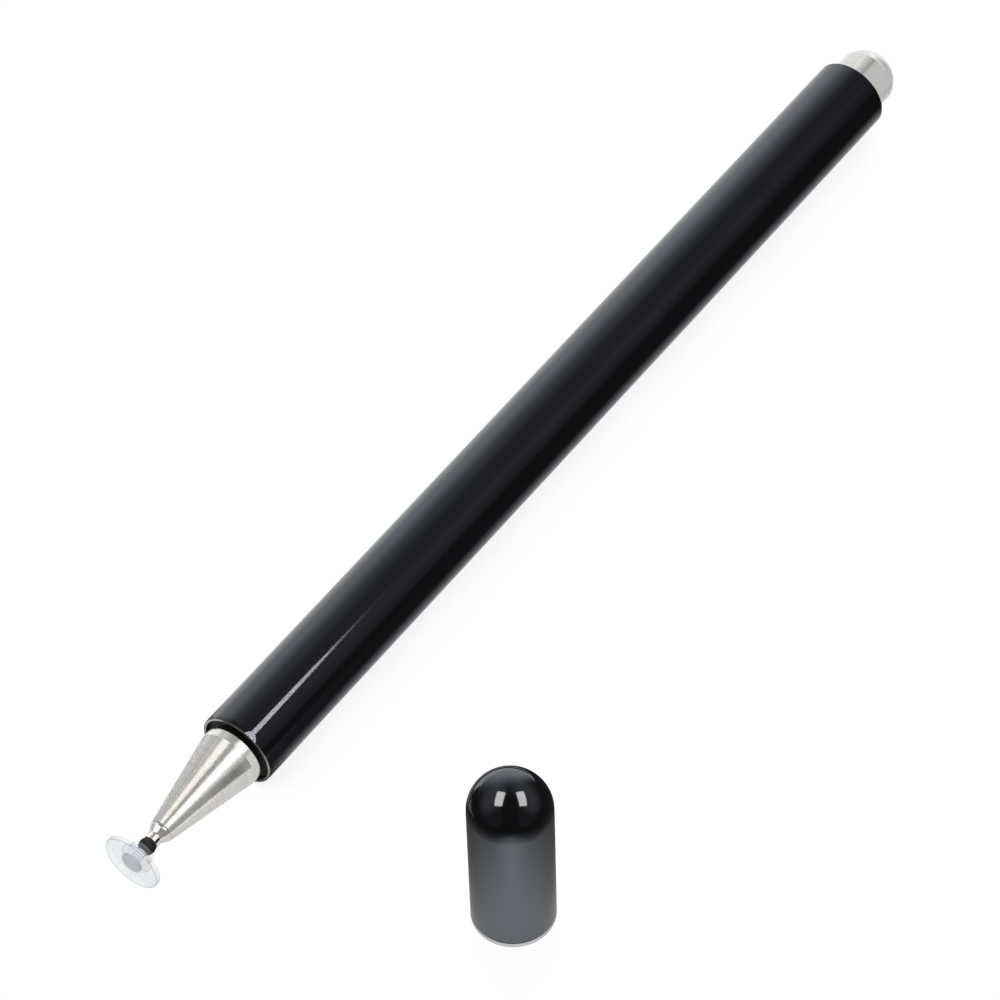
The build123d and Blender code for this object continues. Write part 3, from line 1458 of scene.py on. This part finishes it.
@dataclass
class PhotoCamera:
    """Camera at the photograph's viewing angle.

    Attributes:
        azimuth: Direction of the camera round the object, in degrees.
        elevation: Angle above the horizon, in degrees.
        roll: Turn about the line of sight, in degrees.
        place_mm: Where the camera stands, in millimetres.
        focal_px: Focal length in pixels.
        image_px: Width of the square image in pixels.
        sensor_mm: Width of the sensor.
    """

    azimuth: float = -52.236
    elevation: float = 50.935
    roll: float = -2.012
    place_mm: Triple = (-264.669, -183.321, 402.335)
    focal_px: float = 4649.8
    image_px: float = 1000.0
    sensor_mm: float = 36.0

    def axes(self) -> Axes:
        """The camera's directions.

        Returns:
            Right, up and back.
        """
        around, above, turn = (math.radians(x) for x in (self.azimuth, self.elevation, self.roll))
        level = math.cos(above)
        back = Vector((math.sin(around) * level, -math.cos(around) * level, math.sin(above)))
        right = Vector((math.cos(around), math.sin(around), 0.0))
        up = back.cross(right)
        cosine, sine = math.cos(turn), math.sin(turn)
        return Axes(cosine * right + sine * up, cosine * up - sine * right, back)

    def build(self) -> None:
        """Makes the camera and sets it as the scene's own."""
        data = bpy.data.cameras.new("photo_camera")
        data.sensor_width = self.sensor_mm
        data.lens = self.focal_px / self.image_px * self.sensor_mm
        camera = in_scene("photo_camera", data)
        axes = self.axes()
        turned = Matrix((axes.right, axes.up, axes.back)).transposed().to_4x4()
        camera.matrix_world = Matrix.Translation(Vector(self.place_mm) * MM) @ turned
        bpy.context.scene.camera = camera
        LOG.info("camera with a %.1f mm lens", data.lens)


class Lamp:
    """Soft area lamp that lights chosen pieces only."""

    name: str
    level: float
    tint: Tint
    soft: float

    def make(self, place: Matrix, size: Point, corner: float, pieces: Pieces, blockers: Pieces) -> None:
        """Makes the lamp.

        Args:
            place: Matrix of the lamp, which shines down its own Z axis.
            size: Width and height in metres.
            corner: Radius of its corners in metres.
            pieces: Pieces that it lights.
            blockers: Pieces that shade them; none means all.
        """
        data = bpy.data.lights.new(self.name, "AREA")
        data.shape = "RECTANGLE"
        data.size, data.size_y = size
        data.energy = self.level * math.pi * size[0] * size[1]
        data.color = self.tint.value
        self._round(data, corner)
        lamp = in_scene(self.name, data)
        lamp.matrix_world = place
        lamp.visible_camera = False
        lamp.light_linking.receiver_collection = self._collection("lit_by_", pieces)
        if blockers:
            lamp.light_linking.blocker_collection = self._collection("shades_", blockers)
        LOG.info("%s lights %d pieces", self.name, len(pieces))

    def _round(self, data: bpy.types.AreaLight, corner: float) -> None:
        """Rounds the lamp's corners and fades its edges.

        Args:
            data: The lamp's data.
            corner: Radius of its corners in metres.
        """
        data.use_nodes = True
        kit = NodeKit(data.node_tree)
        spot = kit.read("NewGeometry", {}, {}, "Parametric")
        middle = 0.5
        past = []
        for letter, size in (("X", data.size), ("Y", data.size_y)):
            from_middle = kit.math("ABSOLUTE", size * (kit.axis(spot, letter) - middle))
            past.append(kit.math("MAXIMUM", from_middle - (size / 2 - corner), 0.0))
        away = kit.math("SQRT", past[0] * past[0] + past[1] * past[1])
        shade = kit.rise(away, corner * (1 - self.soft), corner, 1.0, 0.0)
        kit.finish(kit.read("Emission", {}, {"Strength": shade}), "OutputLight")

    def _collection(self, prefix: str, pieces: Pieces) -> bpy.types.Collection:
        """Collection of pieces, named for the lamp."""
        group = bpy.data.collections.new(prefix + self.name)
        for piece in pieces:
            group.objects.link(piece)
        return group


@dataclass
class Softbox(Lamp):
    """Lamp that faces a point, with its place and size as angles in degrees.

    Attributes:
        name: The lamp's name.
        at: Angles of its middle to the right of the back direction and above it.
        size: Width and height of the lamp.
        level: Brightness, where 1 is white.
        aim: Directions that it is placed by.
        corner: Radius of its corners.
        soft: Share of the corners' radius over which its edges fade.
        tint: Tint of the light.
        distance: Distance from what it lights, in metres.
    """

    name: str
    at: Point
    size: Point
    level: float
    aim: Aim = Aim.CAMERA
    corner: float = 4.0
    soft: float = 0.6
    tint: Tint = Tint.WHITE
    distance: float = 1.5

    def build(self, axes: Axes, target: Vector, pieces: Pieces, blockers: Pieces) -> None:
        """Makes the lamp.

        Args:
            axes: Directions that the lamp is placed by.
            target: Point that it faces, in metres.
            pieces: Pieces that it lights.
            blockers: Pieces that shade them; none means all.
        """
        side, above = (math.radians(angle) for angle in self.at)
        level = math.sin(side) * axes.right + math.cos(side) * axes.back
        towards = math.cos(above) * level + math.sin(above) * axes.up
        across = math.cos(side) * axes.right - math.sin(side) * axes.back
        turned = Matrix((across, towards.cross(across), towards)).transposed().to_4x4()
        place = Matrix.Translation(target + self.distance * towards) @ turned
        width, height = (2 * self.distance * math.tan(math.radians(angle / 2)) for angle in self.size)
        corner = self.distance * math.tan(math.radians(self.corner))
        self.make(place, (width, height), corner, pieces, blockers)


@dataclass
class LampRig:
    """Softboxes that face one point and share what shades their light.

    Attributes:
        axes: Directions by which the lamps can be placed.
        target: Point that the lamps face, in metres.
        blockers: Pieces that shade the lit ones; none means all.
    """

    axes: dict[Aim, Axes]
    target: Vector
    blockers: Pieces = ()

    def shine(self, pieces: Pieces, *boxes: Softbox) -> None:
        """Lights pieces with softboxes, in order.

        Args:
            pieces: Pieces that are lit.
            boxes: The softboxes.
        """
        for box in boxes:
            box.build(self.axes[box.aim], self.target, pieces, self.blockers)


@dataclass
class FloorCard(Lamp):
    """Pale card on the floor that shines upwards, with its place and size in millimetres.

    Attributes:
        name: The card's name.
        at: Place of its middle along X and Y, from the pen's mouth.
        size: Size along X and Y.
        level: Brightness, where 1 is white.
        corner: Radius of its corners.
        soft: Share of the corners' radius over which its edges fade.
        tint: Tint of the light.
        lift: Height above the floor.
    """

    name: str
    at: Point
    size: Point
    level: float
    corner: float = 12.0
    soft: float = 1.0
    tint: Tint = Tint.WHITE
    lift: float = 0.1

    def build(self, mouth: Vector, pieces: Pieces, blockers: Pieces) -> None:
        """Makes the card.

        Args:
            mouth: Middle of the pen's mouth, in metres.
            pieces: Pieces that it lights.
            blockers: Pieces that shade them.
        """
        middle = Vector((mouth.x, mouth.y, 0.0)) + Vector((*self.at, self.lift)) * MM
        place = Matrix.Translation(middle) @ Matrix.Rotation(math.pi, 4, "X")
        width, depth = (side * MM for side in self.size)
        self.make(place, (width, depth), self.corner * MM, pieces, blockers)


@dataclass
class Studio:
    """Pale floor, surroundings and lamps.

    Attributes:
        axes: Directions of the camera.
        pen: Axis of the pen.
        cap: Axis of the cap.
        dome_mm: Height of the middle of the cap's round end.
        floor_half: Half of the floor's side, in metres.
        floor_colour: Colour of the floor.
        floor_lift: Light that the floor adds where it is seen, so that it shows white.
        speckles_per_mm: Fineness of the paint's speckle.
        speckle_shade: How pale the paint is in a speckle, against round it.
        painted_back_light: How bright gloss shows the painted light on the floor behind the pen.
        back_bounds: Where that painted light starts and is full, in millimetres behind the axis.
        mouth_bounds: Where it starts and is full, in millimetres past the mouth.
        mouth_slant: How far its edge by the mouth slants.
        painted_cap_pool: How bright gloss shows the painted pool of light on the floor before the cap.
        dark: How bright gloss shows the painted shade on the floor outside that light, and the dark side of the
            room.
        backdrop: Brightness of the backdrop near the horizon.
        backdrop_gain: How much brighter the backdrop is past the pen's tail.
        tail_bounds: East parts of a direction between which the backdrop brightens.
        rear_bounds: North parts of a direction between which it brightens.
        fade_bounds: Upward parts of a direction between which it fades.
    """

    axes: Axes
    pen: TurningAxis
    cap: TurningAxis
    dome_mm: float = 18.3
    floor_half: float = 3.0
    floor_colour: Colour = (0.82, 0.82, 0.82)
    floor_lift: float = 0.86
    speckles_per_mm: float = 0.6
    speckle_shade: float = 0.99
    painted_back_light: float = 0.95
    back_bounds: Point = (-11.5, 1.0)
    mouth_bounds: Point = (1.0, 8.0)
    mouth_slant: float = 0.18
    painted_cap_pool: float = 0.95
    dark: float = 0.03
    backdrop: float = 0.85
    backdrop_gain: float = 1.05
    tail_bounds: Point = (-0.35, 0.65)
    rear_bounds: Point = (-0.1, 0.4)
    fade_bounds: Point = (0.3, 1.0)

    def build_floor(self) -> bpy.types.Object:
        """Makes the floor.

        Returns:
            The floor.
        """
        reach = self.floor_half
        corners = [(-reach, -reach, 0), (reach, -reach, 0), (reach, reach, 0), (-reach, reach, 0)]
        mesh = bpy.data.meshes.new("pale_floor")
        mesh.from_pydata(corners, [], [(0, 1, 2, 3)])
        floor = in_scene("pale_floor", mesh)
        material = bpy.data.materials.new("pale_floor_paint")
        material.use_nodes = True
        material.cycles.emission_sampling = "NONE"
        kit = NodeKit(material.node_tree)
        camera, gloss, through = kit.rays("Is Camera Ray", "Is Glossy Ray", "Is Transmission Ray")
        speckle = kit.noise(kit.place(), self.speckles_per_mm, detail=3.0)
        speckled = tuple(self.speckle_shade * share for share in self.floor_colour)
        matt = kit.read("BsdfDiffuse", {}, {"Color": kit.tint(speckle, self.floor_colour, speckled)})
        lift = kit.read("Emission", {}, {"Strength": self.floor_lift * (camera + through)})
        seen = kit.read("AddShader", {}, {0: matt, 1: lift})
        # Reflections see painted light on the floor, not lamp light: painted pools of light and painted shade.
        shown = kit.read("Emission", {}, {"Strength": self._painted_gloss_light(kit)})
        kit.finish(kit.read("MixShader", {}, {0: gloss * (1 - through), 1: seen, 2: shown}))
        mesh.materials.append(material)
        return floor

    def _painted_gloss_light(self, kit: NodeKit) -> Signal:
        """Painted light of the floor in reflections: painted light behind the pen and before the cap, painted
        shade elsewhere.
        """
        place = kit.place()
        east, north = kit.axis(place, "X"), kit.axis(place, "Y")
        pen_x, pen_y = self.pen.place.translation.xy / MM
        slanted = east - self.mouth_slant * (north - pen_y)
        past_mouth = kit.rise(slanted, *(pen_x + bound for bound in self.mouth_bounds))
        behind = kit.rise(north, *(pen_y + bound for bound in self.back_bounds))
        painted_back_level = self.painted_back_light * behind * past_mouth
        return self.dark + kit.math("MAXIMUM", painted_back_level, self.painted_cap_pool * self._painted_pool(kit, east, north))

    def _painted_pool(self, kit: NodeKit, east: Signal, north: Signal) -> Signal:
        """Painted pool of light before the cap, long towards the viewer and short behind it.

        Args:
            kit: Node kit of the floor's material.
            east: Place along X, in millimetres.
            north: Place along Y, in millimetres.

        Returns:
            The pool's brightness.
        """
        lead, reach, back_reach, half_width, fall = 8.0, 54.0, 12.0, 19.0, -2.0
        cap_x, cap_y = self.cap.place.translation.xy / MM
        viewer = self.axes.back.xy.normalized()
        off_east, off_north = east - cap_x, north - cap_y
        ahead = off_east * viewer.x + off_north * viewer.y - lead
        aside = off_north * (viewer.x / half_width) - off_east * (viewer.y / half_width)
        before = kit.math("MAXIMUM", ahead, 0.0) * (1 / reach)
        behind = kit.math("MINIMUM", ahead, 0.0) * (1 / back_reach)
        spread = 1 + before * before + behind * behind + aside * aside
        return kit.math("POWER", spread, fall)

    def build_world(self) -> None:
        """Makes the surroundings: a backdrop that fades upwards, and a dark side by the camera."""
        world = bpy.data.worlds.new("studio_room")
        bpy.context.scene.world = world
        world.use_nodes = True
        kit = NodeKit(world.node_tree)
        camera, through = kit.rays("Is Camera Ray", "Is Transmission Ray")
        towards = kit.read("TexCoord", {}, {}, "Generated")
        slope = kit.rise(kit.axis(towards, "X"), *self.tail_bounds, 0.0, self.backdrop_gain)
        fade = kit.rise(kit.axis(towards, "Z"), *self.fade_bounds, 1.0, 0.0)
        rear = kit.rise(kit.axis(towards, "Y"), *self.rear_bounds)
        level = self.dark + self.backdrop * (fade * slope * slope * rear)
        seen = kit.math("MINIMUM", camera + through, 1.0)
        sockets = {"Strength": level + seen * (1 - level), "Color": (1.0, 1.0, 1.0, 1.0)}
        kit.finish(kit.read("Background", {}, sockets), "OutputWorld")

    def build_lamps(self, floor: bpy.types.Object, groups: dict[str, list[bpy.types.Object]]) -> None:
        """Makes the lamps.

        Args:
            floor: The floor.
            groups: Pieces by the group that they belong to.
        """
        barrel, nose, disc, tail, cap = (groups[name] for name in ("barrel", "nose", "disc", "tail", "cap"))
        pen = [floor, *barrel, *nose, *disc, *tail]
        mouth = self.pen.place.translation
        dome = self.cap.place @ Vector((0.0, 0.0, self.dome_mm * MM))
        axes = {Aim.CAMERA: self.axes, Aim.PEN: self.axes.along(Vector((1.0, 0.0, 0.0)))}
        self._light_cap(LampRig(axes, dome), cap)
        by_pen = LampRig(axes, mouth, pen)
        self._light_barrel(by_pen, barrel)
        self._light_nose(by_pen, nose, disc)
        by_pen.shine(
            [*nose[:1], *disc, *tail],
            Softbox("metal_panel", at=(15.0, 20.0), size=(150.0, 150.0), level=0.36),
        )
        self._light_neck(by_pen, nose[1:])
        by_pen.shine(
            disc,
            Softbox(
                "disc_front_panel", at=(0.0, -60.0), size=(70.0, 70.0), level=1.7,
                aim=Aim.PEN, corner=20.0, soft=1.0,
            ),
        )
        self._light_tail(by_pen, tail)
        LampRig(axes, mouth).shine(
            [floor],
            Softbox("floor_softbox", at=(0.0, 39.0), size=(60.0, 60.0), level=0.5),
        )
        far_size = (2000.0, 2900.0)
        for lit, card in (
            (nose, FloorCard("nose_card", at=(-7.0, 133.0), size=(60.0, 334.0), level=0.66)),
            (barrel, FloorCard("mouth_card", at=(-7.0, 3.0), size=(13.0, 24.0), level=0.7, corner=4.0)),
            (nose, FloorCard("nose_far_card", at=(940.0, -1472.0), size=far_size, level=0.35)),
            (tail, FloorCard("tail_card", at=(1070.0, -1451.0), size=far_size, level=0.62, corner=12.5)),
        ):
            card.build(mouth, lit, pen)

    def _light_cap(self, rig: LampRig, cap: Pieces) -> None:
        """Lights the cap: two softboxes that its round end mirrors, with faint light round them.

        Args:
            rig: Rig that faces the cap's round end.
            cap: Shell and liner.
        """
        shell = cap[:1]
        for hand, side, width in (("left", -31.5, 25.0), ("right", 35.3, 24.0)):
            rig.shine(
                shell,
                Softbox(
                    f"cap_{hand}_softbox", at=(side, 31.3), size=(width, 40.0), level=5.0,
                    corner=4.5, soft=0.8,
                    tint=Tint.AMBER,
                ),
            )
        for hand, side in (("left", -60.0), ("right", 60.0)):
            rig.shine(
                cap,
                Softbox(
                    f"cap_{hand}_halo", at=(side, 38.0), size=(84.0, 104.0), level=0.18,
                    corner=42.0, soft=1.0,
                ),
            )
        for hand, side in (("left", -50.0), ("right", 50.0)):
            panel = Softbox(f"cap_{hand}_panel", at=(side, 14.0), size=(60.0, 112.0), level=0.03, corner=8.0)
            rig.shine(shell, panel)

    def _light_barrel(self, rig: LampRig, barrel: Pieces) -> None:
        """Lights the barrel: a bright streak from its mouth, and a soft one along its side.

        Args:
            rig: Rig that faces the mouth.
            barrel: Barrel and ring magnet.
        """
        rig.shine(
            barrel,
            Softbox(
                "barrel_softbox", at=(31.1, 24.4), size=(31.8, 36.8), level=4.1,
                corner=10.9, soft=0.1, tint=Tint.ROSE,
            ),
            Softbox(
                "barrel_panel", at=(-3.0, 30.0), size=(104.0, 60.0), level=0.085,
                aim=Aim.PEN, corner=30.0, soft=0.9,
            ),
            Softbox(
                "barrel_streak", at=(18.0, 28.0), size=(36.0, 40.0), level=0.05,
                aim=Aim.PEN, corner=18.0, soft=1.0,
            ),
        )

    def _light_nose(self, rig: LampRig, nose: Pieces, disc: Pieces) -> None:
        """Lights the cone: two streaks with a dark strip between them, and a highlight on its band.

        Args:
            rig: Rig that faces the mouth.
            nose: Cone and neck.
            disc: Ball, boss, disc and pad.
        """
        cone = nose[:1]
        rig.shine(
            [*nose, *disc],
            Softbox(
                "nose_right_softbox", at=(26.0, 21.0), size=(34.0, 34.0), level=1.25,
                corner=12.0, soft=0.8,
            ),
        )
        rig.shine(
            nose,
            Softbox("nose_right_halo", at=(38.0, 8.0), size=(34.0, 34.0), level=0.5, corner=17.0, soft=1.0),
        )
        rig.shine(
            cone,
            Softbox(
                "nose_left_softbox", at=(-24.5, 53.0), size=(33.0, 20.0), level=0.95, corner=8.0, soft=0.4,
                tint=Tint.CREAM,
            ),
        )
        rig.shine(
            nose,
            Softbox(
                "nose_left_panel", at=(-110.0, 40.0), size=(90.0, 60.0), level=0.3,
                corner=20.0, soft=0.8,
            ),
        )
        rig.shine(
            cone,
            Softbox(
                "nose_near_card", at=(50.0, 20.0), size=(44.0, 52.0), level=0.38,
                aim=Aim.PEN, corner=9.0, soft=1.0,
                distance=0.02,
            ),
            Softbox("band_softbox", at=(5.0, 36.0), size=(41.0, 36.0), level=1.0, aim=Aim.PEN, corner=8.0),
        )

    def _light_neck(self, rig: LampRig, neck: Pieces) -> None:
        """Lights the polished neck, which mirrors each panel as a patch of its own.

        Args:
            rig: Rig that faces the mouth.
            neck: The neck.
        """
        rig.shine(
            neck,
            Softbox("neck_panel", at=(15.0, 20.0), size=(150.0, 150.0), level=0.3),
            Softbox("neck_back_panel", at=(-104.0, 18.0), size=(84.0, 70.0), level=0.4, aim=Aim.PEN),
            Softbox("neck_left_panel", at=(-64.0, -33.0), size=(58.0, 40.0), level=1.0, aim=Aim.PEN),
            Softbox("neck_front_panel", at=(1.0, 20.0), size=(50.0, 34.0), level=0.85, aim=Aim.PEN),
        )

    def _light_tail(self, rig: LampRig, tail: Pieces) -> None:
        """Lights the collar and the button from both sides and from the end.

        Args:
            rig: Rig that faces the mouth.
            tail: Collar and button.
        """
        rig.shine(
            tail,
            Softbox("tail_left_panel", at=(-57.0, 36.0), size=(46.0, 60.0), level=0.13, aim=Aim.PEN),
            Softbox("tail_right_panel", at=(34.0, 36.0), size=(76.0, 60.0), level=0.27, aim=Aim.PEN),
            Softbox("tail_end_panel", at=(0.0, 88.0), size=(44.0, 60.0), level=0.5, aim=Aim.PEN),
        )


def main() -> None:
    """Builds the sub-assemblies, the studio and the camera in order."""
    logging.basicConfig(level=logging.INFO, format="%(name)s: %(message)s")
    bpy.context.scene.view_settings.view_transform = "Standard"
    joint = next(j for j in frame["joints"] if j["name"] == "disc_turn")
    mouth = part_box("barrel")[0].x
    _, pen_y, pen_z = joint["pos_m"]
    pen = TurningAxis(Matrix.Translation((mouth, pen_y, pen_z)) @ Matrix.Rotation(math.pi / 2, 4, "Y"))
    rim = next(m for m in frame["record"]["mounts"] if m["name"] == "cap_bore")
    cap = TurningAxis(Matrix.Translation(rim["pos_m"]))
    ball_centre = (joint["pos_m"][0] - mouth) / MM
    groups = {
        "barrel": BarrelGroup(pen).build(),
        "nose": NoseGroup(pen, ball_centre).build(),
        "disc": DiscGroup(pen, ball_centre).build(),
        "tail": TailGroup(pen).build(),
        "cap": CapGroup(cap).build(),
    }
    camera = PhotoCamera()
    camera.build()
    studio = Studio(camera.axes(), pen, cap)
    floor = studio.build_floor()
    studio.build_world()
    studio.build_lamps(floor, groups)


if __name__ == "__main__":
    main()
